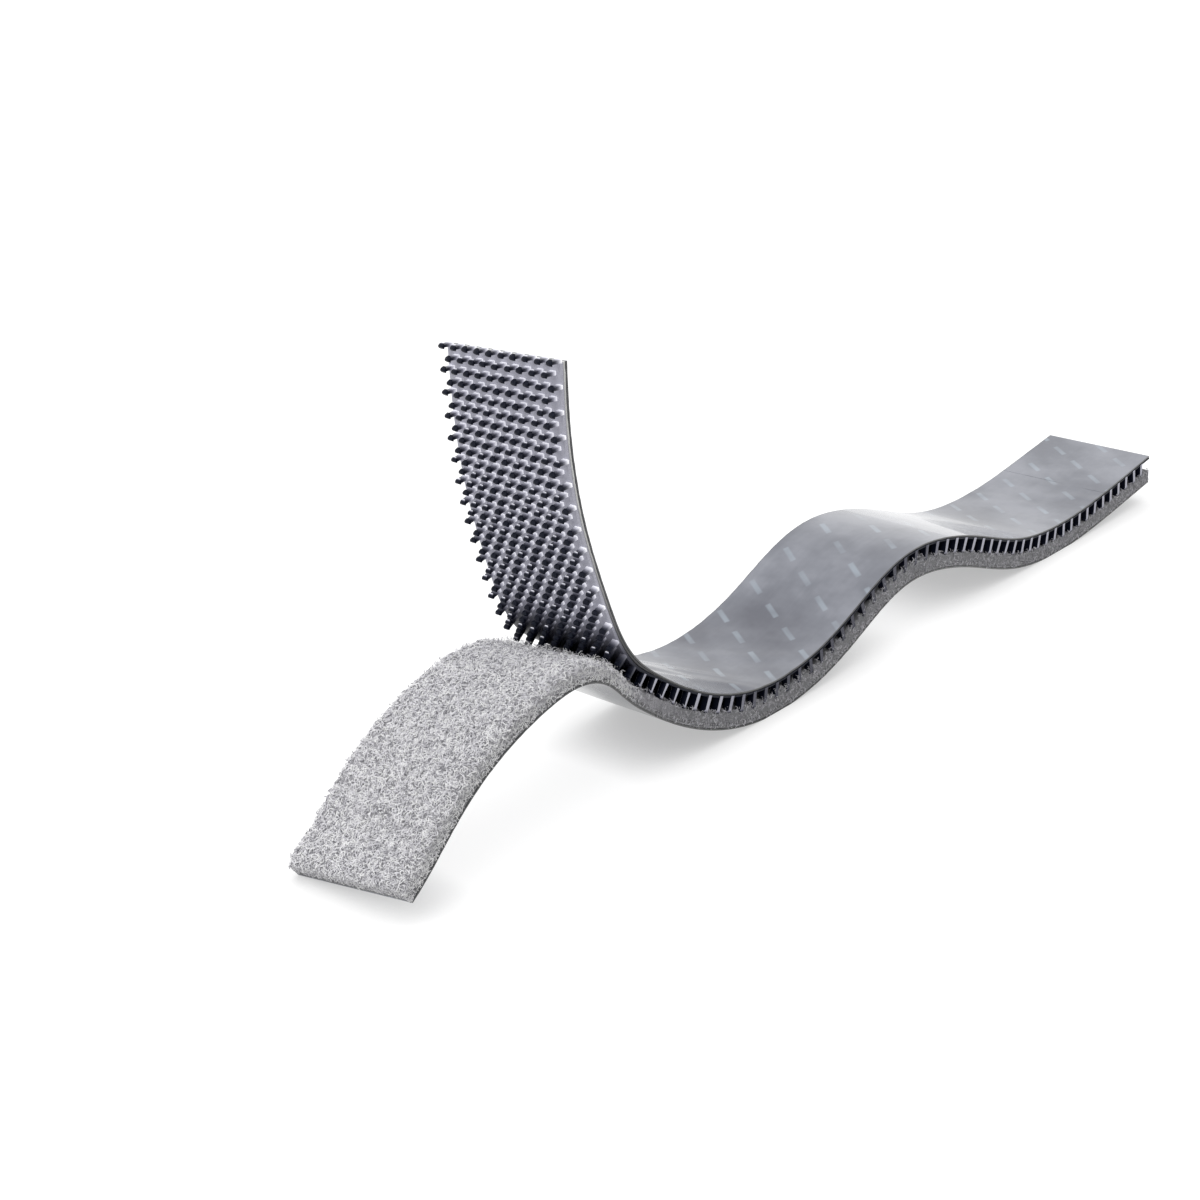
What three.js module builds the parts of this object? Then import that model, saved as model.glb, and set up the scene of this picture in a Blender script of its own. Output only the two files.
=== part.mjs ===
// Hook and loop fastening tape, a length cut from the roll: a hook tape and a loop tape, each with an
// adhesive and a release liner on its back, closed on each other and peeled apart at one end.
// Millimetres. X runs from the peeled end to the cut end, Y across the tape, Z up from the table.

import * as THREE from "three";

// The tape and its three stretches: closed, and the two flaps that part at the peel line.
const tapeWidth = 25.4;
const closedLength = 194;
const hookFlapLength = 67;
const loopFlapLength = 67.6;

// How each stretch lies, as its heading above the horizontal in degrees, at equal steps of its
// length from the peel line. The closed stretch runs to +X and the flaps run to -X.
const closedHeadings = [-36, -19, 7, 23, -8, -19, -3, 7, 8];
const hookFlapHeadings = [36, 64.2, 70.8, 80.8, 88.4];
const loopFlapHeadings = [36, 35.2, 9.8, -9.6, -18.5, -26.6, -36.6, -41.4, -33.4];

// Each flap turns a little about its own length, and is cut a little off square. The tip of the
// loop flap also sways a little towards the near edge.
const hookFlapTwist = -5.8;
const hookTwistRun = 60;
const hookFarSideShorter = 2.2;
const hookFlapSway = 0;
const loopFlapTwist = 8.2;
const loopTwistRun = 22;
const loopFarSideShorter = -1.1;
const loopFlapSway = -1.5;

// The hook tape, from the crowns of its hooks outwards.
const hookHeight = 2.2;
const sheetThickness = 0.6;
const hookAdhesiveThickness = 0.5;
const hookLinerThickness = 0.3;

// The loop tape, from the top of its pile inwards.
const pileThickness = 1.5;
const clothThickness = 0.4;
const loopAdhesiveThickness = 0.45;
const loopLinerThickness = 0.3;

// Clearances between layers, between the closed faces, and between pieces along the tape.
const bondGap = 0.05;
const closedGap = 0.15;
const seamGap = 0.3;

// The pile is pressed flat while the tapes are closed, and springs up past the peel line.
const pileSpring = 1;
const pileSpringRun = 22;

// One hook: a stem with two barbs, its profile drawn along the tape and moulded across it.
const hookWidth = 1.6;
const stemThickness = 0.56;
const neckHeight = 1.72;
const barbReach = 0.72;
const barbTipHeight = 1.4;

// Rows of hooks lie across the tape, every other row shifted by half a pitch.
const hookPitch = 2.62;
const rowPitch = 1.86;
const edgeMargin = 0.1;
const shownClosedRows = 2;

// Past the peel line the tapes stay with the closed stretch for some rows, then comes the bend.
const crotchRows = 5;
const bendRows = 5;

// The last of each release liner can be lifted at the cut end, from a crease.
const linerLeadLength = 22;

// The undersides of the two valleys lie flat on the table over this depth.
const restDepth = 0.15;

// Facets along the tape, and the step at which its path is followed.
const rowsPerFacet = 2;
const pathStep = 0.5;

const hookColour = 0x4a4c59;
const adhesiveColour = 0xd9d9d2;
const linerColour = 0x9c9ca8;
const pileColour = 0xafafb2;
const clothColour = 0xa3a3a8;

const halfWidth = tapeWidth / 2;
const bendStart = crotchRows * rowPitch;
const bendEnd = bendStart + bendRows * rowPitch;

// Levels of the layers above the crowns of the hooks, for the hook tape.
const sheetInner = hookHeight;
const sheetOuter = sheetInner + sheetThickness;
const hookAdhesiveInner = sheetOuter + bondGap;
const hookAdhesiveOuter = hookAdhesiveInner + hookAdhesiveThickness;
const hookLinerInner = hookAdhesiveOuter + bondGap;
const hookLinerOuter = hookLinerInner + hookLinerThickness;

// Levels of the layers below the crowns of the hooks, for the loop tape.
const pileTop = -closedGap;
const pileRoot = pileTop - pileThickness;
const clothUpper = pileRoot - bondGap;
const clothLower = clothUpper - clothThickness;
const loopAdhesiveUpper = clothLower - bondGap;
const loopAdhesiveLower = loopAdhesiveUpper - loopAdhesiveThickness;
const loopLinerUpper = loopAdhesiveLower - bondGap;
const loopLinerLower = loopLinerUpper - loopLinerThickness;

const radians = THREE.MathUtils.degToRad;
const smooth = (value) => THREE.MathUtils.smoothstep(value, 0, 1);

// One stretch of tape seen from the side, from the peel line. Its side is 1 towards +X and -1 towards -X.
class Stretch {
  constructor(length, headings, side) {
    this.length = length;
    this.side = side;
    this.headings = new THREE.SplineCurve(headings.map((angle) => new THREE.Vector2(0, radians(angle))));
    const steps = Math.ceil(length / pathStep);
    this.points = [new THREE.Vector2()];
    for (let i = 0; i < steps; i += 1) {
      const heading = this.heading(((i + 1 / 2) / steps) * length);
      const step = new THREE.Vector2(side * Math.cos(heading), Math.sin(heading));
      this.points.push(this.points[i].clone().addScaledVector(step, length / steps));
    }
  }

  heading(distance) {
    return this.headings.getPoint(THREE.MathUtils.clamp(distance / this.length, 0, 1)).y;
  }

  point(distance) {
    const place = (distance / this.length) * (this.points.length - 1);
    const index = THREE.MathUtils.clamp(Math.floor(place), 0, this.points.length - 2);
    return this.points[index].clone().lerp(this.points[index + 1], place - index);
  }
}

// A whole tape: the closed stretch at distances below zero, and its flap at distances above zero.
class Tape {
  constructor(closed, flap, twist, twistRun, farSideShorter, sway) {
    Object.assign(this, { closed, flap, twist, twistRun, sway });
    this.farSideShare = farSideShorter / flap.length;
  }

  // The point at a distance from the peel line, a share of the half width towards the near edge,
  // and a level above the crowns of the hooks.
  point(distance, nearShare, level) {
    const onFlap = distance > 0;
    const run = onFlap ? distance * (1 - (this.farSideShare * (1 - nearShare)) / 2) : -distance;
    const stretch = onFlap ? this.flap : this.closed;
    const middle = stretch.point(run);
    const heading = stretch.heading(run);
    const out = new THREE.Vector3(-stretch.side * Math.sin(heading), 0, Math.cos(heading));
    const along = new THREE.Vector3(stretch.side * Math.cos(heading), 0, Math.sin(heading));
    const share = onFlap ? run / stretch.length : 0;
    const yaw = Math.atan((2 * this.sway * share) / stretch.length);
    const near = new THREE.Vector3(0, -Math.cos(yaw), 0).addScaledVector(along, Math.sin(yaw));
    const turn = radians(this.twist) * smooth(distance / this.twistRun);
    const across = near.clone().multiplyScalar(Math.cos(turn)).addScaledVector(out, Math.sin(turn));
    const normal = out.multiplyScalar(Math.cos(turn)).addScaledVector(near, -Math.sin(turn));
    return new THREE.Vector3(middle.x, this.sway * share * share, middle.y)
      .addScaledVector(across, nearShare * halfWidth)
      .addScaledVector(normal, level);
  }
}

const closedStretch = new Stretch(closedLength, closedHeadings, 1);
const hookFlapStretch = new Stretch(hookFlapLength, hookFlapHeadings, -1);
const loopFlapStretch = new Stretch(loopFlapLength, loopFlapHeadings, -1);
const hookTape = new Tape(closedStretch, hookFlapStretch, hookFlapTwist, hookTwistRun, hookFarSideShorter, hookFlapSway);
const loopTape = new Tape(closedStretch, loopFlapStretch, loopFlapTwist, loopTwistRun, loopFarSideShorter, loopFlapSway);

// Distances at which a layer has its sections. They lie between the rows of hooks, at every row
// where the tapes bend apart and at every second row elsewhere.
function stations(from, to) {
  const places = [from];
  for (let row = Math.ceil(from / rowPitch); row * rowPitch < to; row += 1) {
    const bending = row >= 0 && row <= crotchRows + bendRows;
    const place = row * rowPitch;
    if ((bending || row % rowsPerFacet === 0) && place - from > seamGap && to - place > seamGap) {
      places.push(place);
    }
  }
  places.push(to);
  return places;
}

// The sections of a layer along a tape, four corners each, and the faces between them.
function sweep(tape, places, lowerAt, upperAt, leaveInnerOpen) {
  const vertices = [];
  for (const place of places) {
    vertices.push(tape.point(place, 1, lowerAt(place)), tape.point(place, -1, lowerAt(place)));
    vertices.push(tape.point(place, -1, upperAt(place)), tape.point(place, 1, upperAt(place)));
  }
  const faces = [0, 1, 2, 0, 2, 3];
  for (let i = 0; i + 1 < places.length; i += 1) {
    for (let corner = leaveInnerOpen ? 1 : 0; corner < 4; corner += 1) {
      const a = i * 4 + corner;
      const b = i * 4 + ((corner + 1) % 4);
      // The same diagonal above and below keeps neighbouring layers parallel where the tape twists.
      faces.push(...(corner === 2 ? [a, a + 4, b, b, a + 4, b + 4] : [a, b + 4, b, a, a + 4, b + 4]));
    }
  }
  const last = (places.length - 1) * 4;
  faces.push(last, last + 2, last + 1, last, last + 3, last + 2);
  return { vertices, faces };
}

function toGeometry({ vertices, faces }) {
  const geometry = new THREE.BufferGeometry().setFromPoints(vertices);
  geometry.setIndex(faces);
  return geometry;
}

// A closed solid along a tape, as wide as the tape, between two levels.
function layer(tape, from, to, lower, upper) {
  const lowerAt = typeof lower === "function" ? lower : () => lower;
  const upperAt = typeof upper === "function" ? upper : () => upper;
  return toGeometry(sweep(tape, stations(from, to), lowerAt, upperAt, false));
}

// Shares of the half width at which a row has its hooks. Deep inside the closed stretch only the
// outermost hooks are moulded on, which show at the edges.
function hookPlaces(row, lastClosedRow) {
  const shifted = row % 2 === 0;
  const room = halfWidth - edgeMargin - hookWidth / 2;
  const half = shifted ? Math.floor(room / hookPitch) : Math.floor(room / hookPitch - 1 / 2) + 1 / 2;
  const places = [];
  for (let k = -half; k <= half; k += 1) {
    places.push((k * hookPitch) / halfWidth);
  }
  if (row >= -shownClosedRows || row === lastClosedRow) {
    return places;
  }
  return shifted ? [] : [places[0], places[places.length - 1]];
}

// One hook standing on the sheet: a stem, two barbs that point along the tape, and a crown.
// It returns the ring of its foot, as vertex numbers and as places on the sheet.
function addHook(vertices, faces, distance, nearShare) {
  const halfStem = stemThickness / 2;
  const profile = [
    [-halfStem, 0],
    [-halfStem, neckHeight],
    [-barbReach, barbTipHeight],
    [0, hookHeight],
    [barbReach, barbTipHeight],
    [halfStem, neckHeight],
    [halfStem, 0],
  ];
  const count = profile.length;
  const far = vertices.length;
  const near = far + count;
  const halfShare = hookWidth / 2 / halfWidth;
  for (const share of [nearShare - halfShare, nearShare + halfShare]) {
    for (const [along, height] of profile) {
      vertices.push(hookTape.point(distance + along, share, sheetInner - height));
    }
  }
  for (let i = 0; i + 1 < count; i += 1) {
    faces.push(far + i, near + i + 1, far + i + 1, far + i, near + i, near + i + 1);
  }
  for (const [p, q, r] of [[0, 6, 5], [0, 5, 1], [1, 3, 2], [1, 5, 3], [5, 4, 3]]) {
    faces.push(far + p, far + r, far + q, near + p, near + q, near + r);
  }
  const last = count - 1;
  return {
    indices: [far, far + last, near + last, near],
    ring: [
      new THREE.Vector2(distance - halfStem, nearShare - halfShare),
      new THREE.Vector2(distance + halfStem, nearShare - halfShare),
      new THREE.Vector2(distance + halfStem, nearShare + halfShare),
      new THREE.Vector2(distance - halfStem, nearShare + halfShare),
    ],
  };
}

// The moulded sheet with its hooks, one body: each facet of its inner face is cut round the feet
// of its hooks and joined to them.
function moulding(from, to) {
  const places = stations(from, to);
  const { vertices, faces } = sweep(hookTape, places, () => sheetInner, () => sheetOuter, true);
  const lastClosedRow = Math.ceil((barbReach - closedLength) / rowPitch - 1 / 2);
  for (let i = 0; i + 1 < places.length; i += 1) {
    const [start, end] = [places[i], places[i + 1]];
    const corners = [[end, -1], [end, 1], [start, 1], [start, -1]];
    const contour = corners.map(([distance, share]) => new THREE.Vector2(distance, share));
    const indices = [i * 4 + 5, i * 4 + 4, i * 4, i * 4 + 1];
    const holes = [];
    for (let row = Math.ceil(start / rowPitch - 1 / 2); (row + 1 / 2) * rowPitch < end; row += 1) {
      const distance = (row + 1 / 2) * rowPitch;
      if (distance - barbReach > from && distance + barbReach < to) {
        for (const place of hookPlaces(row, lastClosedRow)) {
          const foot = addHook(vertices, faces, distance, place);
          holes.push(foot.ring);
          indices.push(...foot.indices);
        }
      }
    }
    for (const [p, q, r] of THREE.ShapeUtils.triangulateShape(contour, holes)) {
      faces.push(indices[p], indices[r], indices[q]);
    }
  }
  return toGeometry({ vertices, faces });
}

// The free height of the pile past the peel line.
const pileTopAt = (distance) => pileTop + pileSpring * smooth(distance / pileSpringRun);

const tapeSet = new THREE.Group();

function addPiece(name, geometry, colour, roughness) {
  geometry.computeVertexNormals();
  const material = new THREE.MeshStandardMaterial({ color: colour, roughness, metalness: 0 });
  const mesh = new THREE.Mesh(geometry, material);
  mesh.name = name;
  tapeSet.add(mesh);
  return mesh;
}

// Each layer comes in pieces along the tape: closed, bend and flap.
const halfSeam = seamGap / 2;
const hookSpans = {
  "": [-closedLength, bendStart - halfSeam],
  _bend: [bendStart + halfSeam, bendEnd - halfSeam],
  _flap: [bendEnd + halfSeam, hookFlapLength],
};
const loopSpans = { ...hookSpans, _flap: [bendEnd + halfSeam, loopFlapLength] };
const linerStart = -closedLength + linerLeadLength + seamGap;

for (const [part, [from, to]] of Object.entries(hookSpans)) {
  const linerFrom = Math.max(from, linerStart);
  addPiece("hook_moulding" + part, moulding(from, to), hookColour, 0.4);
  const adhesive = layer(hookTape, from, to, hookAdhesiveInner, hookAdhesiveOuter);
  addPiece("hook_adhesive" + part, adhesive, adhesiveColour, 0.7);
  const liner = layer(hookTape, linerFrom, to, hookLinerInner, hookLinerOuter);
  addPiece("hook_liner" + part, liner, linerColour, 0.25);
}

for (const [part, [from, to]] of Object.entries(loopSpans)) {
  const linerFrom = Math.max(from, linerStart);
  addPiece("loop_pile" + part, layer(loopTape, from, to, pileRoot, pileTopAt), pileColour, 0.95);
  addPiece("loop_cloth" + part, layer(loopTape, from, to, clothLower, clothUpper), clothColour, 0.9);
  const adhesive = layer(loopTape, from, to, loopAdhesiveLower, loopAdhesiveUpper);
  addPiece("loop_adhesive" + part, adhesive, adhesiveColour, 0.7);
  const liner = layer(loopTape, linerFrom, to, loopLinerLower, loopLinerUpper);
  addPiece("loop_liner" + part, liner, linerColour, 0.25);
}

const leadEnd = linerStart - seamGap;
const hookLead = layer(hookTape, -closedLength, leadEnd, hookLinerInner, hookLinerOuter);
addPiece("hook_liner_lead", hookLead, linerColour, 0.25);
const loopLead = layer(loopTape, -closedLength, leadEnd, loopLinerLower, loopLinerUpper);
addPiece("loop_liner_lead", loopLead, linerColour, 0.25);

// Lay the closed stretch down so that both of its valleys touch the table.
function lowestOf(from, to) {
  const low = new THREE.Vector3(0, 0, Infinity);
  for (let distance = from; distance < to; distance += pathStep) {
    const point = loopTape.point(distance, 0, loopLinerLower);
    if (point.z < low.z) {
      low.copy(point);
    }
  }
  return low;
}
const firstValley = lowestOf(-closedLength / 2, 0);
const secondValley = lowestOf(-closedLength, -closedLength / 2);
const slope = Math.atan2(secondValley.z - firstValley.z, secondValley.x - firstValley.x);
const settle = new THREE.Matrix4().makeRotationY(slope);
for (const mesh of tapeSet.children) {
  mesh.geometry.applyMatrix4(settle);
}
const floor = firstValley.clone().applyMatrix4(settle).z;

// The closed stretch's lower liner is pressed flat where it touches the table.
const restGeometry = tapeSet.children.find((mesh) => mesh.name === "loop_liner").geometry;
const restPositions = restGeometry.attributes.position;
for (let i = 0; i < restPositions.count; i += 1) {
  restPositions.setZ(i, Math.max(restPositions.getZ(i), floor + restDepth));
}
restGeometry.computeVertexNormals();

// The origin is on the table, below the middle of the whole.
const bounds = new THREE.Box3().setFromObject(tapeSet);
const middle = bounds.getCenter(new THREE.Vector3());
tapeSet.position.set(-middle.x, -middle.y, -bounds.min.z);

// Hinge lines, printed for the record of the moving parts.
const hinges = {
  hook_peel: hookTape.point((bendStart + bendEnd) / 2, 0, (sheetInner + sheetOuter) / 2),
  loop_peel: loopTape.point((bendStart + bendEnd) / 2, 0, (clothUpper + clothLower) / 2),
  hook_liner_peel: hookTape.point(leadEnd, 0, hookLinerOuter),
  loop_liner_peel: loopTape.point(leadEnd, 0, loopLinerLower),
  peel_line: hookTape.point(0, 0, 0),
  first_valley: firstValley.clone(),
  second_valley: secondValley.clone(),
};
for (const [name, point] of Object.entries(hinges)) {
  const place = point.applyMatrix4(settle).add(tapeSet.position);
  console.log(name, place.toArray().map((value) => value.toFixed(2)).join(" "));
}

export default tapeSet;
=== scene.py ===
# %% [markdown]
# # Hook and loop tape, closed in waves and peeled apart at one end
#
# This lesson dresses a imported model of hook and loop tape. The real thing is a laminate: a moulded
# plastic sheet of hooks, a fleece of loops on a ground cloth, an adhesive behind each, and a glossy
# release liner over each adhesive. We make every layer flat, as it leaves the machine, and then lay
# it along the path of the tape with a Curve modifier, as the real tape is bent.

# %% Load the frame
import math

import bpy
import numpy as np
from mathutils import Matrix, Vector, noise


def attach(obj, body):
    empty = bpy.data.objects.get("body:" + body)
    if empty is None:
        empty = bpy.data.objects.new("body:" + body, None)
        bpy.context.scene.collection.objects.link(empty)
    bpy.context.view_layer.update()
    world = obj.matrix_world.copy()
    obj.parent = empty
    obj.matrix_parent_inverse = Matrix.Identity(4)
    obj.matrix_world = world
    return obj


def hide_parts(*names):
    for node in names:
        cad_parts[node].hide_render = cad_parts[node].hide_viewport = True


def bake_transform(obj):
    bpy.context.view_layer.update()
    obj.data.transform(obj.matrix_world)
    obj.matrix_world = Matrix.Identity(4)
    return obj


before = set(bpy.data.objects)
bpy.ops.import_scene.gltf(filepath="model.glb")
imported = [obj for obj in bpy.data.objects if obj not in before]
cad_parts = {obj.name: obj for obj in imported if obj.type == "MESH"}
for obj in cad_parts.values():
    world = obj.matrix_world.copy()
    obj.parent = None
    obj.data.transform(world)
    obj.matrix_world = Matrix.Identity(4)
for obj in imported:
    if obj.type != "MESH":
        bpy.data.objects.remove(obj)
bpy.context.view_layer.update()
print("nodes", len(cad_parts))

# %% [markdown]
# ## Units and the sizes of the tape
#
# The sizes are written in millimetres, as a maker of such tape gives them, and are turned into
# metres by one factor. Levels are heights above the crowns of the hooks, in the flat tape: the hook
# tape lies above them and the loop tape below. In the closed stretch the sheet and films of the
# hook tape are pressed thinner than on the flap, so each face of theirs has a pressed level too.

# %% Sizes of the tape
MM = 0.001
TAPE_WIDTH = 25.4
CLOSED_LENGTH = 194.0
HOOK_FLAP = 67.0
LOOP_FLAP = 67.6
HOOK_HEIGHT = 2.2
LEVELS = {
    "sheet": (2.2, 2.8),
    "hook adhesive": (2.95, 3.35),
    "hook liner": (3.4, 3.7),
    "pile": (-1.65, -0.15),
    "cloth": (-2.1, -1.7),
    "loop adhesive": (-2.6, -2.15),
    "loop liner": (-2.95, -2.65),
}
LAYER_FACES = (-1, 0, 2.2, 2.8, 2.95, 3.35, 3.4, 3.7, 5)
PRESSED_FACES = (-1, 0, 2.95, 3.3, 3.32, 3.46, 3.48, 3.7, 5)
PRESSED_PAST_PEEL = (-8, 12)
ROW_PITCH = 1.86
HOOK_PITCH = 2.7
LEAD_LENGTH = 22.0
LEAD_GAP = 0.1
print("closed tape is", round(LEVELS["hook liner"][1] - LEVELS["loop liner"][0], 2), "mm thick")

# %% [markdown]
# ## Small helpers for modelling
#
# Operators act on everything that is selected, and loading leaves all nodes selected. So each step
# starts from an empty selection, and works on one object.


# %% Helpers for modelling
def start_fresh():
    if bpy.context.object and bpy.context.object.mode != "OBJECT":
        bpy.ops.object.mode_set(mode="OBJECT")
    bpy.ops.object.select_all(action="DESELECT")


def choose(piece):
    start_fresh()
    piece.select_set(True)
    bpy.context.view_layer.objects.active = piece


def add_object(name, data):
    added = bpy.data.objects.new(name, data)
    bpy.context.scene.collection.objects.link(added)
    return added


def apply_placing():
    bpy.ops.object.transform_apply(location=True, rotation=True, scale=True)


def apply_modifier(piece, kind, **settings):
    choose(piece)
    modifier = piece.modifiers.new(kind.lower(), kind)
    for name, value in settings.items():
        setattr(modifier, name, value)
    bpy.ops.object.modifier_apply(modifier=modifier.name)


def extrude(x, z):
    """Extrudes the selected faces by x and z (in mm)."""
    bpy.ops.mesh.extrude_region_move(TRANSFORM_OT_translate={"value": (x * MM, 0, z * MM)})


def shade_smooth(piece, degrees):
    """Smooth shading, except across edges sharper than this."""
    choose(piece)
    bpy.ops.object.shade_smooth_by_angle(angle=math.radians(degrees))


def points_of(piece):
    points = np.empty(len(piece.data.vertices) * 3)
    piece.data.vertices.foreach_get("co", points)
    return points.reshape(-1, 3)


def set_points(piece, points):
    piece.data.vertices.foreach_set("co", points.astype(np.float32).ravel())
    piece.data.update()


def corners_of(piece):
    """The vertex of each corner of each face."""
    corners = np.empty(len(piece.data.loops), np.int32)
    piece.data.loops.foreach_get("vertex_index", corners)
    return corners


def rise(value, start, run):
    """0 up to start, 1 from start + run on, and a smooth rise in between."""
    share = np.clip((value - start) / run, 0, 1)
    return share * share * (3 - 2 * share)


def write_attribute(piece, name, values, domain="POINT"):
    attribute = piece.data.attributes.new(name, "FLOAT", domain)
    attribute.data.foreach_set("value", np.asarray(values, np.float32))


print("helpers ready")

# %% [markdown]
# ## The camera
#
# The camera could be placed by eye, but a wave looks longer or flatter with every change of angle.
# So it was fitted to the corners and edges of the tape in the photograph. It looks down on the tape
# by about 22 degrees with a lens of about 63 mm.

# %% Camera
LENS = 63.07
CAMERA_PLACE = (-0.31297, -0.20665, 0.16139)
CAMERA_ANGLES = (68.04, 0.099, -50.608)
camera_data = bpy.data.cameras.new("camera")
camera_data.lens = LENS
camera_data.sensor_width = 36.0
camera_data.clip_start = 0.01
camera_data.clip_end = 20.0
camera = add_object("camera", camera_data)
camera.location = CAMERA_PLACE
camera.rotation_euler = [math.radians(angle) for angle in CAMERA_ANGLES]
bpy.context.scene.camera = camera
bpy.context.scene.view_settings.view_transform = "Standard"
print("camera at", tuple(camera.location))

# %% [markdown]
# ## How the tape lies
#
# Seen from the side, each stretch of tape is a smooth curve. It could be drawn with handles, but
# then its length would follow from the drawing, and a tape has a length of its own. So it is given
# by its heading above the horizontal at equal steps of its length from the peel line, where the two
# tapes part, and followed in small steps. The same headings describe the solids of the packed
# model, so that what we make here lies where they lie.

# %% Headings of the tapes
CLOSED_HEADINGS = [-36, -19, 7, 23, -8, -19, -3, 7, 8]
PEEL_LINE = Vector((-63.6103, 0.8894, 17.1746)) * MM
SETTLE = math.radians(-0.17937)
STEP = 0.5


def heading_at(headings, share):
    place = min(max(share, 0), 1) * (len(headings) - 1)
    index = min(int(place), len(headings) - 2)
    t = place - index
    before, start, end, after = (
        headings[min(max(index + k, 0), len(headings) - 1)] for k in (-1, 0, 1, 2)
    )
    leave, arrive = (end - before) / 2, (after - start) / 2
    cubic = 2 * start - 2 * end + leave + arrive
    square = -3 * start + 3 * end - 2 * leave - arrive
    return math.radians(cubic * t**3 + square * t**2 + leave * t + start)


def side_path(length, headings, side):
    steps = math.ceil(length / STEP)
    path = [(0.0, 0.0)]
    for i in range(steps):
        heading = heading_at(headings, (i + 0.5) / steps)
        x, z = path[-1]
        path.append((
            x + side * math.cos(heading) * length / steps,
            z + math.sin(heading) * length / steps,
        ))
    return path


closed_run = side_path(CLOSED_LENGTH, CLOSED_HEADINGS, 1)[-1][0]
print("closed tape runs", round(closed_run, 1), "mm along the table")

# %% [markdown]
# ## A curve for each tape
#
# A poly curve runs from the tip of the flap, through the peel line, to the cut end. The tilt of its
# points turns the flap about its own length, because neither flap lies quite square in the
# photograph. Each tape also notes by what share its flap is shorter at the far edge, and how far
# its tip sways.


# %% Curves of the two tapes
def tape_curve(name, flap, headings, twist, twist_run):
    flap_path = side_path(flap, headings, -1)
    closed_path = side_path(CLOSED_LENGTH, CLOSED_HEADINGS, 1)
    places = flap_path[::-1] + closed_path[1:]
    data = bpy.data.curves.new(name, "CURVE")
    data.dimensions = "3D"
    data.twist_mode = "MINIMUM"
    spline = data.splines.new("POLY")
    spline.points.add(len(places) - 1)
    cosine, sine = math.cos(SETTLE), math.sin(SETTLE)
    for i, (x, z) in enumerate(places):
        settled = Vector((x * cosine + z * sine, 0, z * cosine - x * sine))
        distance = flap * (1 - i / (len(flap_path) - 1))
        spline.points[i].co = (*(settled * MM + PEEL_LINE), 1)
        spline.points[i].tilt = -math.radians(twist) * float(rise(distance, 0, twist_run))
    return {"curve": add_object(name, data), "flap": flap, "length": flap + CLOSED_LENGTH}


HOOK_HEADINGS = [36, 64.2, 70.8, 80.8, 88.4]
LOOP_HEADINGS = [36, 35.2, 9.8, -9.6, -18.5, -26.6, -36.6, -41.4, -33.4]
HOOK_FAR_SHORTER = 2.2
LOOP_FAR_SHORTER = -1.1
LOOP_SWAY = -1.5
hook_tape = tape_curve("hook_path", HOOK_FLAP, HOOK_HEADINGS, twist=-5.8, twist_run=60)
loop_tape = tape_curve("loop_path", LOOP_FLAP, LOOP_HEADINGS, twist=8.2, twist_run=22)
hook_tape.update(far_shorter=HOOK_FAR_SHORTER / HOOK_FLAP, sway=0.0)
loop_tape.update(far_shorter=LOOP_FAR_SHORTER / LOOP_FLAP, sway=LOOP_SWAY)
for tape in (hook_tape, loop_tape):
    print(tape["curve"].name, "has", len(tape["curve"].data.splines[0].points), "points")

# %% [markdown]
# ## Laying a flat piece along its tape
#
# In the flat tape, X is the distance from the tip of the flap, Y is across, and Z is the level.
# First the flat places are kept as a UV map, counted in widths of the tape, so that patterns follow
# the tape. Then four things happen. The films of the hook tape are pressed thin towards the closed
# stretch. The flap is drawn in a little on one side, because the tape was cut a little off square.
# The Curve modifier bends the piece, and keeps its length, as a sculpted bend would not. Last, the
# loop flap sways a little towards the camera.


# %% Lay a piece along its tape
def keep_flat_places(piece):
    flat = points_of(piece)[corners_of(piece), :2] / (TAPE_WIDTH * MM)
    layer = piece.data.uv_layers.new(name="flat")
    layer.data.foreach_set("uv", flat.astype(np.float32).ravel())


def pressed_levels(flat):
    """Levels (in m) of points of the hook tape, pressed thin towards the closed stretch."""
    share = rise(flat[:, 0] / MM - HOOK_FLAP, *PRESSED_PAST_PEEL)
    pressed = np.interp(flat[:, 2] / MM, LAYER_FACES, PRESSED_FACES) * MM
    return flat[:, 2] + share * (pressed - flat[:, 2])


def bend_along(piece, tape):
    apply_modifier(piece, "CURVE", object=tape["curve"], deform_axis="POS_X")


def lay_down(piece, tape):
    keep_flat_places(piece)
    flat = points_of(piece)
    if tape is hook_tape:
        flat[:, 2] = pressed_levels(flat)
    past_peel = np.minimum(flat[:, 0] - tape["flap"] * MM, 0)
    far_share = (1 + flat[:, 1] / (TAPE_WIDTH * MM / 2)) / 2
    flat[:, 0] -= past_peel * tape["far_shorter"] * far_share
    flap_share = -past_peel * (1 - tape["far_shorter"] * far_share) / (tape["flap"] * MM)
    flat[:, 0] += flat[:, 1] * 2 * tape["sway"] * flap_share / tape["flap"]
    set_points(piece, flat)
    bend_along(piece, tape)
    laid = points_of(piece)
    laid[:, 1] += tape["sway"] * MM * flap_share**2
    set_points(piece, laid)


print("ready to lay pieces down")

# %% [markdown]
# ## A flat layer
#
# Each layer starts as a grid as long and wide as the layer, at its lower level. Extruding the grid
# upwards by the layer's thickness makes it a closed slab, with enough sections to bend smoothly.


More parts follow.
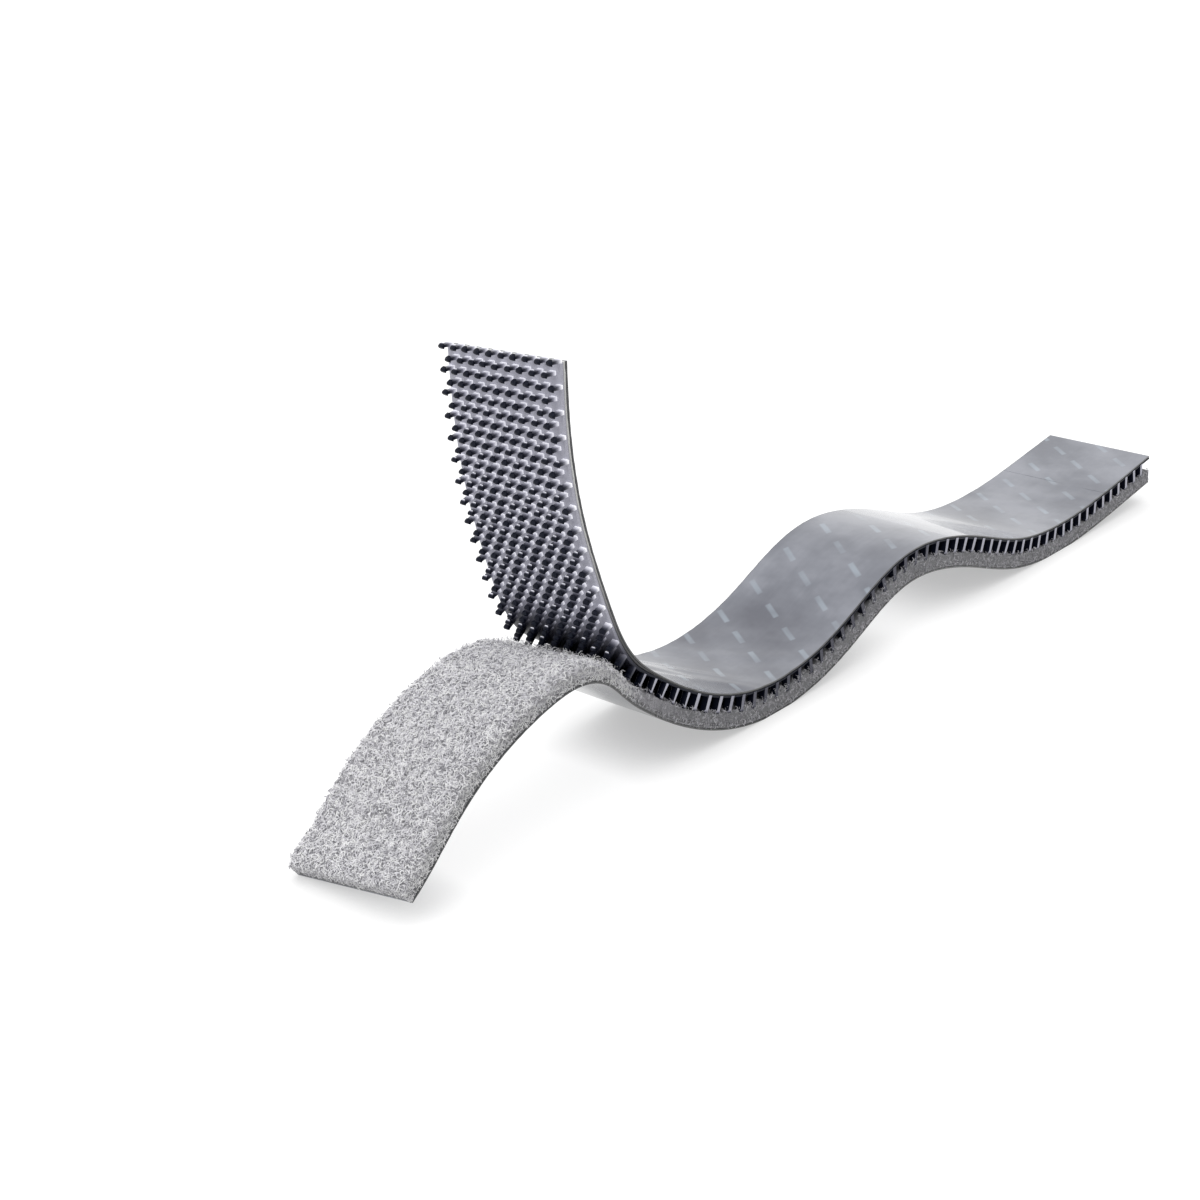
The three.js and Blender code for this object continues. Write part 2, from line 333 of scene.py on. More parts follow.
# %% Make a flat layer
def flat_layer(name, start, end, levels, step, across):
    """A slab from start to end (in mm), in sections about step long, and divided across."""
    start_fresh()
    low, high = levels
    bpy.ops.mesh.primitive_grid_add(
        x_subdivisions=round((end - start) / step),
        y_subdivisions=across,
        size=1,
        location=((start + end) / 2 * MM, 0, low * MM),
    )
    layer = bpy.context.object
    layer.name = name
    layer.scale = ((end - start) * MM, TAPE_WIDTH * MM, 1)
    apply_placing()
    bpy.ops.object.mode_set(mode="EDIT")
    bpy.ops.mesh.select_all(action="SELECT")
    extrude(0, high - low)
    bpy.ops.mesh.select_all(action="SELECT")
    bpy.ops.mesh.normals_make_consistent(inside=False)
    bpy.ops.object.mode_set(mode="OBJECT")
    print(name, "has", len(layer.data.polygons), "faces")
    return layer


print("ready to make layers")

# %% [markdown]
# ## The bends of the tapes
#
# A layer is one continuous skin, while the imported model divides it into a closed, a bend and a flap
# node, which are hidden once the layer is laid down. The bend lies between the fifth and the tenth
# row of hooks past the peel line. Its two ends are found by bending a tiny marker, in the middle of
# the sheet or of the ground cloth.

# %% Where each tape bends
BEND_ROWS = (5, 10)
SHEET_MIDDLE = 2.5
CLOTH_MIDDLE = -1.9
MARKER_SIZE = 0.1


def point_on(tape, distance, level):
    """Where a point of the flat tape lies, distance past the peel line (in mm)."""
    start_fresh()
    place = ((tape["flap"] - distance) * MM, 0, level * MM)
    bpy.ops.mesh.primitive_cube_add(size=MARKER_SIZE * MM, location=place)
    marker = bpy.context.object
    apply_placing()
    bend_along(marker, tape)
    middle = Vector(points_of(marker).mean(axis=0))
    bpy.data.objects.remove(marker)
    return middle


for tape, level in ((hook_tape, SHEET_MIDDLE), (loop_tape, CLOTH_MIDDLE)):
    tape["bend"] = [point_on(tape, rows * ROW_PITCH, level) for rows in BEND_ROWS]
    print(tape["curve"].name, "bends from", tape["bend"][0], "to", tape["bend"][1])


def follow_peel(piece, nodes):
    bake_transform(piece)
    if nodes:
        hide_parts(*[nodes + part for part in ("", "_bend", "_flap")])


# %% [markdown]
# ## Finishes
#
# Every finish starts from the Principled shader. One helper makes the material and returns the
# parts that a finish wires up. Others add a node, step by step: arithmetic, a change of range, a
# colour ramp, a blend of colours, or a bump. The world at the end uses them too.


# %% Helpers for finishes
def new_finish(name, colour, roughness, **sockets):
    material = bpy.data.materials.new(name)
    material.use_nodes = True
    shader = material.node_tree.nodes["Principled BSDF"]
    shader.inputs["Base Color"].default_value = (*colour, 1)
    shader.inputs["Roughness"].default_value = roughness
    for socket, value in sockets.items():
        shader.inputs[socket.replace("_", " ")].default_value = value
    return material, shader


def link(material, source, target):
    material.node_tree.links.new(source, target)


def add_node(material, kind, links=(), **values):
    node = material.node_tree.nodes.new("ShaderNode" + kind)
    for name, value in values.items():
        if name in node.inputs.keys():
            node.inputs[name].default_value = value
        else:
            setattr(node, name, value)
    for source, target in links:
        link(material, source, node.inputs[target])
    return node


def flat_place(material):
    return add_node(material, "UVMap", uv_map="flat").outputs["UV"]


def axes_of(material, place):
    return add_node(material, "SeparateXYZ", [(place, "Vector")]).outputs


def noise_at(material, place, **settings):
    return add_node(material, "TexNoise", [(place, "Vector")], **settings).outputs["Fac"]


def calculate(material, operation, *values):
    """One step of arithmetic, on plain numbers and on what other nodes give."""
    node = add_node(material, "Math", operation=operation)
    for socket, value in zip(node.inputs, values):
        if isinstance(value, bpy.types.NodeSocket):
            link(material, value, socket)
        else:
            socket.default_value = value
    return node.outputs[0]


def remap(material, value, old, new=(0, 1), interpolation_type="LINEAR"):
    """Carries the range old over to the range new, and stays at its ends outside it."""
    node = add_node(
        material, "MapRange", [(value, "Value")], interpolation_type=interpolation_type
    )
    for socket, limit in zip(("From Min", "From Max", "To Min", "To Max"), (*old, *new)):
        node.inputs[socket].default_value = limit
    return node.outputs[0]


def ramp(material, factor, stops):
    node = add_node(material, "ValToRGB", [(factor, "Fac")])
    elements = node.color_ramp.elements
    while len(elements) < len(stops):
        elements.new(0.5)
    for element, (place, colour) in zip(elements, stops):
        element.position = place
        element.color = (*colour, 1)
    return node.outputs["Color"]


def blend_colours(material, factor, below, above):
    mix = add_node(material, "Mix", data_type="RGBA")
    link(material, factor, mix.inputs[0])
    link(material, below, mix.inputs[6])
    mix.inputs[7].default_value = (*above, 1)
    return mix.outputs[2]


def bump(material, shader, height, distance, strength):
    node = add_node(material, "Bump", [(height, "Height")], Distance=distance, Strength=strength)
    link(material, node.outputs["Normal"], shader.inputs["Normal"])


print("finish helpers ready")

# %% [markdown]
# ### Hook plastic
#
# The plastic is smoky and lets light through where it is thin. On the open flap the sheet glows
# pale blue-grey and the thick heads of the hooks stand dark against it. Over the closed tape no
# light comes from behind, and the sheet is dark too. A shader that lets light through would need a
# lamp behind the flap and many samples. The moulding keeps a light tone for each of its points
# instead, painted light from 0 for the dark heads to 1 for the palest stems, and the colour follows
# it, a little mottled. The palest parts also have a painted glow, for the light that has come
# through.

# %% Finish: hook plastic
hook_plastic, shader = new_finish(
    "hook_plastic", (0.05, 0.05, 0.07), 0.35, Specular_IOR_Level=0.1
)
light_tone = add_node(hook_plastic, "Attribute", attribute_name="light_tone").outputs["Fac"]
speckle = add_node(hook_plastic, "TexNoise", Scale=900.0, Detail=2.0).outputs["Fac"]
wobble = remap(hook_plastic, speckle, (0, 1), (-0.14, 0.14))
mottled = calculate(hook_plastic, "ADD", light_tone, wobble)
colour = ramp(hook_plastic, mottled, [
    (0.06, (0.006, 0.008, 0.018)),
    (0.3, (0.06, 0.062, 0.085)),
    (0.55, (0.3, 0.3, 0.36)),
    (0.8, (0.66, 0.66, 0.73)),
    (1.0, (0.95, 0.95, 0.98)),
])
link(hook_plastic, colour, shader.inputs["Base Color"])
# Painted glow: the palest tones glow, for light that has come through the plastic.
link(hook_plastic, colour, shader.inputs["Emission Color"])
glow = remap(hook_plastic, mottled, (0.45, 1), (0, 0.6))
link(hook_plastic, glow, shader.inputs["Emission Strength"])
bump(hook_plastic, shader, speckle, 0.05 * MM, 0.4)
print("made", hook_plastic.name)

# %% [markdown]
# ### Adhesive
#
# The adhesive shows only as a line along the edges, a little uneven where it was slit. Behind the
# hooks it is palest at the lifted end of the flap, and is painted darker towards the closed tape: a
# painted shade where no light comes from behind, and the dark moulding shows through it. Behind the
# cloth it has taken up fibres and is as grey as the fleece.

# %% Finish: adhesives
ADHESIVE_TONES = {
    "hook": ((0.62, 0.62, 0.61), (0.88, 0.88, 0.87)),
    "loop": ((0.16, 0.16, 0.165), (0.3, 0.3, 0.31)),
}
SHADED_ADHESIVE = (0.05, 0.05, 0.052)
adhesive_finish = {}
for side, (dark, pale) in ADHESIVE_TONES.items():
    finish, shader = new_finish(side + "_adhesive", pale, 0.55)
    grain = add_node(finish, "TexNoise", Scale=900.0, Detail=3.0).outputs["Fac"]
    colour = ramp(finish, grain, [(0.35, dark), (0.65, pale)])
    # Painted shade: the hook adhesive darkens towards the closed tape, where no light comes from
    # behind.
    if side == "hook":
        along = axes_of(finish, flat_place(finish))["X"]
        shaded = remap(finish, along, (0.9, 2.3), interpolation_type="SMOOTHSTEP")
        colour = blend_colours(finish, shaded, colour, SHADED_ADHESIVE)
    link(finish, colour, shader.inputs["Base Color"])
    bump(finish, shader, grain, 0.08 * MM, 0.6)
    adhesive_finish[side] = finish
print("made", [finish.name for finish in adhesive_finish.values()])

# %% [markdown]
# ### Release liner
#
# The liner is a thin glossy film, grey-violet from the adhesive behind it, with lighter and darker
# clouds and fine lengthwise drawing lines. Towards the cut end it is painted paler, a painted sheen.
# Rows of short, plain, pale-blue dashes lie on it, worn in places. They are made by turning the flat
# pattern and keeping a small box of each repeat, staggered from lane to lane. A thin band along both
# long edges of the film is darker.

# %% Finish: release liners
LINER_EDGES = {"hook": (0.045, 0.045, 0.048), "loop": (0.035, 0.035, 0.037)}
EDGE_STARTS = (0.492, 0.497)
DRAWING_LINES = (0.4, 20.0, 1.0)
DASH_ANGLE = -58
DASHES_PER_WIDTH = (2.7, 3.1, 1.0)
DASH_HALF_SIZES = (0.27, 0.06)
DASH_BLUR = 0.02
DASH_COLOUR = (0.46, 0.54, 0.62)


def dash_mask(material, place):
    """1 inside a small box of each repeat of the pattern, and 0 outside it."""
    x, y, _ = axes_of(material, place)
    lane = calculate(material, "FLOOR", y)
    staggered = calculate(material, "MULTIPLY_ADD", lane, 0.5, x)
    masks = []
    for source, half_size in zip((staggered, y), DASH_HALF_SIZES):
        repeat = calculate(material, "FRACT", source)
        centred = calculate(material, "SUBTRACT", repeat, 0.5)
        distance = calculate(material, "ABSOLUTE", centred)
        masks.append(remap(material, distance, (half_size + DASH_BLUR, half_size - DASH_BLUR)))
    return calculate(material, "MULTIPLY", *masks)


def make_liner_finish(side):
    film, shader = new_finish(
        side + "_liner_film", (0.3, 0.3, 0.34), 0.16, Coat_Weight=0.3, Coat_Roughness=0.05
    )
    place = flat_place(film)
    along, across, _ = axes_of(film, place)
    clouds = noise_at(film, place, Scale=1.3, Detail=4.0, Roughness=0.55)
    drawn = add_node(film, "Mapping", [(place, "Vector")], Scale=DRAWING_LINES).outputs["Vector"]
    lines = noise_at(film, drawn, Scale=1.5, Detail=3.0)
    streaked = calculate(film, "MULTIPLY_ADD", lines, 0.05, clouds)
    # Painted sheen: the film is painted paler towards the cut end.
    painted_sheen = remap(film, along, (4.6, 6), (0.045, 0.16), interpolation_type="SMOOTHSTEP")
    colour = ramp(film, calculate(film, "ADD", streaked, painted_sheen), [
        (0.44, (0.125, 0.13, 0.16)),
        (0.62, (0.195, 0.205, 0.24)),
        (0.8, (0.305, 0.315, 0.36)),
    ])
    turned_place = add_node(
        film, "Mapping", [(place, "Vector")],
        Rotation=(0, 0, math.radians(DASH_ANGLE)), Scale=DASHES_PER_WIDTH,
    ).outputs["Vector"]
    worn = remap(film, noise_at(film, place, Scale=5.0, Detail=1.0), (0.35, 0.65), (0.15, 0.45))
    dashes = calculate(film, "MULTIPLY", dash_mask(film, turned_place), worn)
    colour = blend_colours(film, dashes, colour, DASH_COLOUR)
    at_edge = remap(film, calculate(film, "ABSOLUTE", across), EDGE_STARTS)
    colour = blend_colours(film, at_edge, colour, LINER_EDGES[side])
    link(film, colour, shader.inputs["Base Color"])
    gloss = ramp(film, clouds, [(0.3, (0.1,) * 3), (0.8, (0.26,) * 3)])
    link(film, gloss, shader.inputs["Roughness"])
    bump(film, shader, lines, 0.02 * MM, 0.35)
    return film


liner_finish = {side: make_liner_finish(side) for side in LINER_EDGES}
print("made", [film.name for film in liner_finish.values()])

# %% [markdown]
# ### Fleece, its fibres and the ground cloth
#
# The fleece is two things: a soft bumpy body with painted shade in its pits, and darker and plainer
# where it is pressed between the tapes, partly painted shade there, and thousands of fibres on it,
# each a shade of its own. The ground cloth under it shows as a darker woven edge.

# %% Finishes: fleece body, fibres and cloth
PRESSED_AND_SHADED_FLEECE = (0.3, 0.3, 0.315)
fleece_body, shader = new_finish("fleece_body", (0.5, 0.5, 0.52), 0.95, Sheen_Weight=0.25)
pits_and_shade = add_node(fleece_body, "TexNoise", Scale=1500.0, Detail=2.0, Roughness=0.6).outputs["Fac"]
# Painted shade: the colour is dark in the pits of the same noise that bumps the surface.
colour = ramp(fleece_body, pits_and_shade, [(0.38, (0.24, 0.235, 0.26)), (0.58, (0.84, 0.83, 0.87))])
along = axes_of(fleece_body, flat_place(fleece_body))["X"]
# Darker and plainer in the closed stretch: pressed fleece, partly painted shade between the tapes.
pressed = remap(fleece_body, along, (2.7, 3.3), interpolation_type="SMOOTHSTEP")
colour = blend_colours(fleece_body, pressed, colour, PRESSED_AND_SHADED_FLEECE)
link(fleece_body, colour, shader.inputs["Base Color"])
bump(fleece_body, shader, pits_and_shade, 0.3 * MM, 0.8)

fibre_finish, shader = new_finish("fleece_fibres", (0.7, 0.7, 0.72), 0.6, Sheen_Weight=0.2)
shade = add_node(fibre_finish, "Attribute", attribute_name="shade").outputs["Fac"]
colour = ramp(fibre_finish, shade, [
    (0.0, (0.33, 0.325, 0.355)),
    (0.4, (0.85, 0.84, 0.88)),
    (0.8, (1.0, 1.0, 1.0)),
])
link(fibre_finish, colour, shader.inputs["Base Color"])

cloth_finish, shader = new_finish("ground_cloth", (0.28, 0.28, 0.29), 0.9)
threads = add_node(
    cloth_finish, "TexWave", [(flat_place(cloth_finish), "Vector")],
    Scale=22.0, Distortion=1.5, bands_direction="DIAGONAL",
).outputs["Fac"]
colour = ramp(cloth_finish, threads, [(0.2, (0.16, 0.16, 0.17)), (0.8, (0.36, 0.36, 0.37))])
link(cloth_finish, colour, shader.inputs["Base Color"])
bump(cloth_finish, shader, threads, 0.1 * MM, 0.7)
print("made", fleece_body.name, fibre_finish.name, cloth_finish.name)

# %% [markdown]
# ## The moulded sheet
#
# The sheet of the hook moulding is a slab with slightly rounded long edges. Its inner face is where
# the hooks stand. It is made apart from them, because the closed hooks are attached to the closed
# strip and the open hooks are not.

# %% Moulded sheet
CLOSED_TONE = 0.03
OPEN_LIGHT_GAIN = 0.61
LIGHT_THROUGH_UP_THE_FLAP = (2, 19)
sheet = flat_layer("hook_sheet", 0, hook_tape["length"], LEVELS["sheet"], step=1.0, across=10)
apply_modifier(sheet, "BEVEL", width=0.08 * MM, segments=2, limit_method="ANGLE")


def light_through_at(along):
    """Painted light that comes through the sheet: little over the closed tape, more up the flap."""
    return CLOSED_TONE + OPEN_LIGHT_GAIN * rise(HOOK_FLAP - along, *LIGHT_THROUGH_UP_THE_FLAP)


# Painted light: the sheet is paler up the flap, where light comes through it.
write_attribute(sheet, "light_tone", light_through_at(points_of(sheet)[:, 0] / MM))
lay_down(sheet, hook_tape)
sheet.data.materials.append(hook_plastic)
follow_peel(sheet, "hook_moulding")
print("sheet laid down")

# %% [markdown]
# ## One hook
#
# A hook of this kind is cut from an extruded rail, so it is a flat anchor as thick as the rail's
# slice: a stem that flares at its foot, a rounded crown, and a barb on each side that bends back
# towards the sheet. It is modelled standing up, from a cube, by extruding its top and then its two
# sides, and then turned over, because the hooks of the flat tape hang down.

# %% Sizes of one hook
HOOK_WIDTH = 1.18
STEM = 0.4
EDGE_STEM = 0.86
NECK = 1.8
CROWN_BASE = 0.26
BARB_REACH = 0.56
BARB_ROOT = 0.13
BARB_ROOT_DROP = 0.04
BARB_DROP = 0.24
ROOTED = 0.05
print("a hook is", HOOK_WIDTH, "mm wide and", 2 * BARB_REACH, "mm across its barbs")


def select_face(piece, test):
    bpy.ops.object.mode_set(mode="OBJECT")
    for part in (piece.data.vertices, piece.data.edges, piece.data.polygons):
        part.foreach_set("select", np.zeros(len(part), bool))
    for face in piece.data.polygons:
        face.select = test(face.center / MM, face.normal)
    bpy.ops.object.mode_set(mode="EDIT")
    bpy.context.tool_settings.mesh_select_mode = (False, False, True)


def extrude_scaled(x, z, scale):
    extrude(x, z)
    bpy.ops.transform.resize(value=scale)


# %% Model one hook
def model_hook(name, rounded, stem, foot_flare):
    start_fresh()
    bpy.ops.mesh.primitive_cube_add(size=1, location=(0, 0, NECK / 2 * MM))
    hook = bpy.context.object
    hook.name = name
    hook.scale = (stem * MM, HOOK_WIDTH * MM, NECK * MM)
    apply_placing()
    select_face(hook, lambda centre, normal: normal.z < -0.9)
    bpy.ops.transform.resize(value=(foot_flare, 1.05, 1))
    select_face(hook, lambda centre, normal: normal.z > 0.9)
    extrude_scaled(0, CROWN_BASE, (1.15, 0.97, 1))
    extrude_scaled(0, HOOK_HEIGHT - NECK - CROWN_BASE, (0.7, 0.88, 1))
    for side in (-1, 1):
        select_face(
            hook,
            lambda centre, normal: normal.x * side > 0.5 and NECK < centre.z < NECK + CROWN_BASE,
        )
        extrude_scaled(side * BARB_ROOT, -BARB_ROOT_DROP, (1, 0.9, 0.7))
        extrude_scaled(side * (BARB_REACH - stem / 2 - BARB_ROOT), -BARB_DROP, (1, 0.6, 0.35))
    bpy.ops.object.mode_set(mode="OBJECT")
    if rounded:
        apply_modifier(
            hook, "BEVEL", width=0.06 * MM, segments=1,
            limit_method="ANGLE", angle_limit=math.radians(25),
        )
    choose(hook)
    bpy.ops.transform.rotate(value=math.pi, orient_axis="X", center_override=(0, 0, 0))
    apply_placing()
    bpy.ops.transform.translate(value=(0, 0, (HOOK_HEIGHT + ROOTED) * MM))
    apply_placing()
    print(name, "has", len(hook.data.polygons), "faces")
    return hook


fine_hook = model_hook("fine_hook", True, STEM, 1.7)
plain_hook = model_hook("plain_hook", False, EDGE_STEM, 1.15)

# The plain hooks reach up through the sheet, which is pressed thin where they stand.
plain_points = points_of(plain_hook)
plain_points[plain_points[:, 2] > HOOK_HEIGHT * MM, 2] = (LEVELS["sheet"][1] - ROOTED) * MM
set_points(plain_hook, plain_points)

# %% [markdown]
# ## Rows of hooks
#
# Rows lie across the tape, and every second row is shifted by half a pitch. Two Array modifiers
# copy one hook across a row and then along the tape, which is how the mould repeats them too. The
# rows of the open flap stand a little wider apart. Its hooks have rounded edges, and some have a
# painted highlight at the tips of their barbs. Those of the closed stretch show only their sides at
# the edges, so they stay plain, and only those sides are painted lit. Each hook leans a little its
# own way, as they do on tape that has been used.

# %% Set out the rows
OPEN_ROWS = {"first": -0.3, "pitch": 1.965, "count": 42, "offset": -0.3}
CLOSED_ROWS = {"first": 82.11, "pitch": ROW_PITCH, "count": 96, "offset": 0.0}
HOOKS_IN_ROW = 10
WIDENED_TO = 58.0
LEAN = 0.08
LIT_BARBS = 0.4
LIT_TONE = 0.9
LIT_TIP = 0.14
EDGE_HOOKS_FROM = 10.9
STEM_LIGHT_GAIN = 1.6
STEM_ENDS = (0.36, 0.2)
EDGE_LIGHT = 0.64
EDGE_LIGHT_LOSS_IN_SHADE = 0.3
EDGE_LIGHT_ENDS = (0.85, 0.15)
DEEP_FROM = (22, 16)
DEEP_UP_TO = (90, 14)
random_lean = np.random.default_rng(11)


def deep_in_fleece(along):
    """1 where the slope of the tape presses the hooks deepest into the fleece, 0 elsewhere."""
    closed = np.asarray(along) - HOOK_FLAP
    return rise(closed, *DEEP_FROM) * (1 - rise(closed, *DEEP_UP_TO))


def write_hook_light_tone(piece, crown, barb_glint):
    """Painted light: pale stems and some barb glints on the open flap. In the closed tape only
    sideways faces of the edge hooks are painted lit.
    """
    faces = piece.data.polygons
    sizes = np.empty(len(faces), np.int32)
    normals = np.empty(len(faces) * 3)
    faces.foreach_get("loop_total", sizes)
    faces.foreach_get("normal", normals)
    sideways = np.repeat(np.abs(normals.reshape(-1, 3)[:, 1]) > 0.6, sizes)
    corners = corners_of(piece)
    x, y, _ = points_of(piece)[corners].T / MM
    crown, barb_glint = crown[corners], barb_glint[corners]
    is_open = rise(HOOK_FLAP - x, 2, 8)
    # Painted light: stems are pale on the open flap, for light that comes through them.
    stem_light = light_through_at(x) * STEM_LIGHT_GAIN * (1 - rise(crown, *STEM_ENDS))
    # Painted light on sideways faces of the edge hooks in the closed tape; painted shade, less of it,
    # on the slope.
    at_edge = sideways & (np.abs(y) > EDGE_HOOKS_FROM)
    edge_light = at_edge * (EDGE_LIGHT - EDGE_LIGHT_LOSS_IN_SHADE * deep_in_fleece(x))
    edge_light *= 1 - rise(crown, *EDGE_LIGHT_ENDS)
    light_tone = np.maximum(stem_light, barb_glint) * is_open + edge_light * (1 - is_open)
    write_attribute(piece, "light_tone", light_tone, "CORNER")


def copy_hook(piece, count, offset):
    apply_modifier(
        piece, "ARRAY", count=count, use_relative_offset=False,
        use_constant_offset=True, constant_offset_displace=offset,
    )


def every_second_row(hook, rows, shifted):
    half = add_object(hook.name, hook.data.copy())
    count = HOOKS_IN_ROW - shifted
    first_x = rows["first"] + shifted * rows["pitch"]
    first_y = rows["offset"] - (count - 1) / 2 * HOOK_PITCH
    choose(half)
    bpy.ops.transform.translate(value=(first_x * MM, first_y * MM, 0))
    apply_placing()
    copy_hook(half, count, (0, HOOK_PITCH * MM, 0))
    copy_hook(half, rows["count"] // 2, (2 * rows["pitch"] * MM, 0, 0))
    return half


def hook_rows(name, hook, rows, widened=0.0):
    """Rows of copies of a hook, the middle ones moved on by widened (in mm)."""
    rows_piece, other_half = [every_second_row(hook, rows, shifted) for shifted in (0, 1)]
    choose(rows_piece)
    other_half.select_set(True)
    bpy.ops.object.join()
    rows_piece.name = name
    per_hook = len(hook.data.vertices)
    points = points_of(rows_piece)
    crown = np.clip(1 - points[:, 2] / (HOOK_HEIGHT * MM), 0, 1)  # 0 at the sheet, 1 at the crowns
    lean = random_lean.normal(0, LEAN * MM, (len(points) // per_hook, 2))
    points[:, :2] += np.repeat(lean, per_hook, axis=0) * crown[:, None] ** 2
    middles = points[:, 0].reshape(-1, per_hook).mean(axis=1) / MM
    last = rows["first"] + (rows["count"] - 1) * rows["pitch"]
    towards_ends = np.minimum(middles / WIDENED_TO, (last - middles) / (last - WIDENED_TO))
    reach = np.abs(points[:, 0] / MM - np.repeat(middles, per_hook))
    caught = np.repeat(random_lean.uniform(0, 1, len(middles)) < LIT_BARBS, per_hook)
    points[:, 0] += np.repeat(widened * np.clip(towards_ends, 0, 1) * MM, per_hook)
    set_points(rows_piece, points)
    # Painted highlight: the barb tips of some hooks are painted pale.
    lit = caught & (reach > BARB_REACH - LIT_TIP) & (crown > 0.4)
    write_hook_light_tone(rows_piece, crown, LIT_TONE * lit)
    rows_piece.data.materials.append(hook_plastic)
    print(name, "has", len(middles), "hooks and", len(rows_piece.data.polygons), "faces")
    return rows_piece


open_hooks = hook_rows("open_hooks", fine_hook, OPEN_ROWS, widened=1.3)
closed_hooks = hook_rows("closed_hooks", plain_hook, CLOSED_ROWS)
for hook in (fine_hook, plain_hook):
    bpy.data.objects.remove(hook)

# %% Lay the hooks down
shade_smooth(open_hooks, 50)
for rows_piece in (open_hooks, closed_hooks):
    lay_down(rows_piece, hook_tape)
follow_peel(open_hooks, "")
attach(closed_hooks, "closed_strip")
print("hooks laid down")

# %% [markdown]
# ## Adhesives
#
# Each adhesive is a soft layer, slit with the tape, so its edge is slightly wavy and never quite
# flush. A bump in the finish can't change an outline, so the edge points themselves are moved, by a
# noise that is the same on every run.

# %% Adhesive layers
EDGE_BAND = 0.98
WAVE_ALONG = 1.3
WAVE_UP = 0.5


def wavy_edges(piece, amount, seed):
    """Draws the long edges in by up to amount (in mm), unevenly."""
    points = points_of(piece)
    half = TAPE_WIDTH / 2 * MM
    for i, (x, y, z) in enumerate(points):
        if abs(y) > half * EDGE_BAND:
            place = (x / (WAVE_ALONG * MM), seed + math.copysign(5, y), z / (WAVE_UP * MM))
            inwards = amount * MM * (0.5 + 0.5 * noise.noise(place))
            points[i, 1] -= math.copysign(inwards, y)
    set_points(piece, points)


for side, tape in (("hook", hook_tape), ("loop", loop_tape)):
    levels = LEVELS[side + " adhesive"]
    piece = flat_layer(side + "_adhesive_layer", 0, tape["length"], levels, step=0.9, across=4)
    apply_modifier(piece, "BEVEL", width=0.06 * MM, segments=1, limit_method="ANGLE")
    wavy_edges(piece, 0.18, 3)
    lay_down(piece, tape)
    piece.data.materials.append(adhesive_finish[side])
    follow_peel(piece, side + "_adhesive")

# %% [markdown]
# ## Release liners
#
# Each liner is a film over its adhesive. On the hook tape, where a dip bends the film shorter, it
# lifts off in low ripples that run across the tape. A cloth simulation would find such ripples by
# itself, but not where the real ones are, so a noise raises them at chosen dips. The last stretch
# at the cut end is loose, and moves by itself.

# %% Ripples of the film
HOOK_RIPPLES = [(94, 13, 0.2), (118, 12, 0.08), (232, 14, 0.1)]
RIPPLE_SLANT = 0.45
RIPPLE_LENGTH = 4.2
RIPPLE_WANDER = 1.5


def ripple(piece, dips):
    """Lifts a film at each dip, given by its centre, its reach and the ripples' height (in mm)."""
    points = points_of(piece)
    for i, (x, y, _) in enumerate(points):
        along, across = x / MM, y / MM
        wander = RIPPLE_WANDER * noise.noise((across / 6, along / 9, 2))
        slanted = along + RIPPLE_SLANT * across + wander
        lift = 0.0
        for centre, reach, height in dips:
            near_dip = math.exp(-((along - centre) / reach) ** 2)
            wave = noise.noise((slanted / RIPPLE_LENGTH, across / 14, centre))
            lift += height * near_dip * max(0.0, wave) * 2
        points[i, 2] += lift * MM
    set_points(piece, points)


print("ripples at", [centre for centre, _, _ in HOOK_RIPPLES], "mm from the flap's tip")

# %% Liner layers
for side, tape in (("hook", hook_tape), ("loop", loop_tape)):
    levels = LEVELS[side + " liner"]
    end = tape["length"]
    crease = end - LEAD_LENGTH
    film = flat_layer(side + "_liner_film", 0, crease - LEAD_GAP, levels, step=0.6, across=24)
    lead = flat_layer(side + "_liner_lead_film", crease, end, levels, step=0.6, across=24)
    if side == "hook":
        ripple(film, HOOK_RIPPLES)
    for piece in (film, lead):
        wavy_edges(piece, 0.1, 8)
        lay_down(piece, tape)
        piece.data.materials.append(liner_finish[side])
        shade_smooth(piece, 40)
    follow_peel(film, side + "_liner")
    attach(lead, side + "_lead")
    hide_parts(side + "_liner_lead")

# %% [markdown]
# ## Ground cloth
#
# The loops are knitted into a ground cloth. Only its edge shows, as a thin dark line under the
# fleece, so it is a slab like the others, with rounder edges, and its weave is left to the finish.

# %% Ground cloth layer
cloth = flat_layer(
    "ground_cloth_layer", 0, loop_tape["length"], LEVELS["cloth"], step=0.9, across=6
)
apply_modifier(cloth, "BEVEL", width=0.1 * MM, segments=2, limit_method="ANGLE")
wavy_edges(cloth, 0.12, 21)
lay_down(cloth, loop_tape)
cloth.data.materials.append(cloth_finish)
follow_peel(cloth, "loop_cloth")

# %% [markdown]
# ## The body of the fleece
#
# Fibres alone would let the cloth shine through unless there were millions, so a solid body fills
# the fleece below them. Its top is a fine grid, lumpy with the tufts of loops, and its long edges
# are rounded over. Where the tapes are closed, the fleece rises round the hooks, most where the
# tape slopes. Just behind the peel line the hooks on the far side are sunk deep in it. Past the
# peel line it springs up.

# %% Surface of the fleece
PILE_SPRING = 1.0
PILE_SPRING_RUN = 22.0
PILE_DIP = 0.35
LUMP_HEIGHT = 0.3
EDGE_ROUND, EDGE_DROP = 1.1, 0.75
TIP_ROUND, TIP_DROP = 1.2, 0.8
COARSE_TUFT, FINE_TUFT = 2.2, 0.7
SUNK_MIDDLE, SUNK_FAR = 1.9, 1.1


def tuft(along, across):
    coarse = noise.noise((along / COARSE_TUFT, across / COARSE_TUFT, 1))
    fine = noise.noise((along / FINE_TUFT, across / FINE_TUFT, 10))
    return 0.6 * coarse + 0.4 * fine


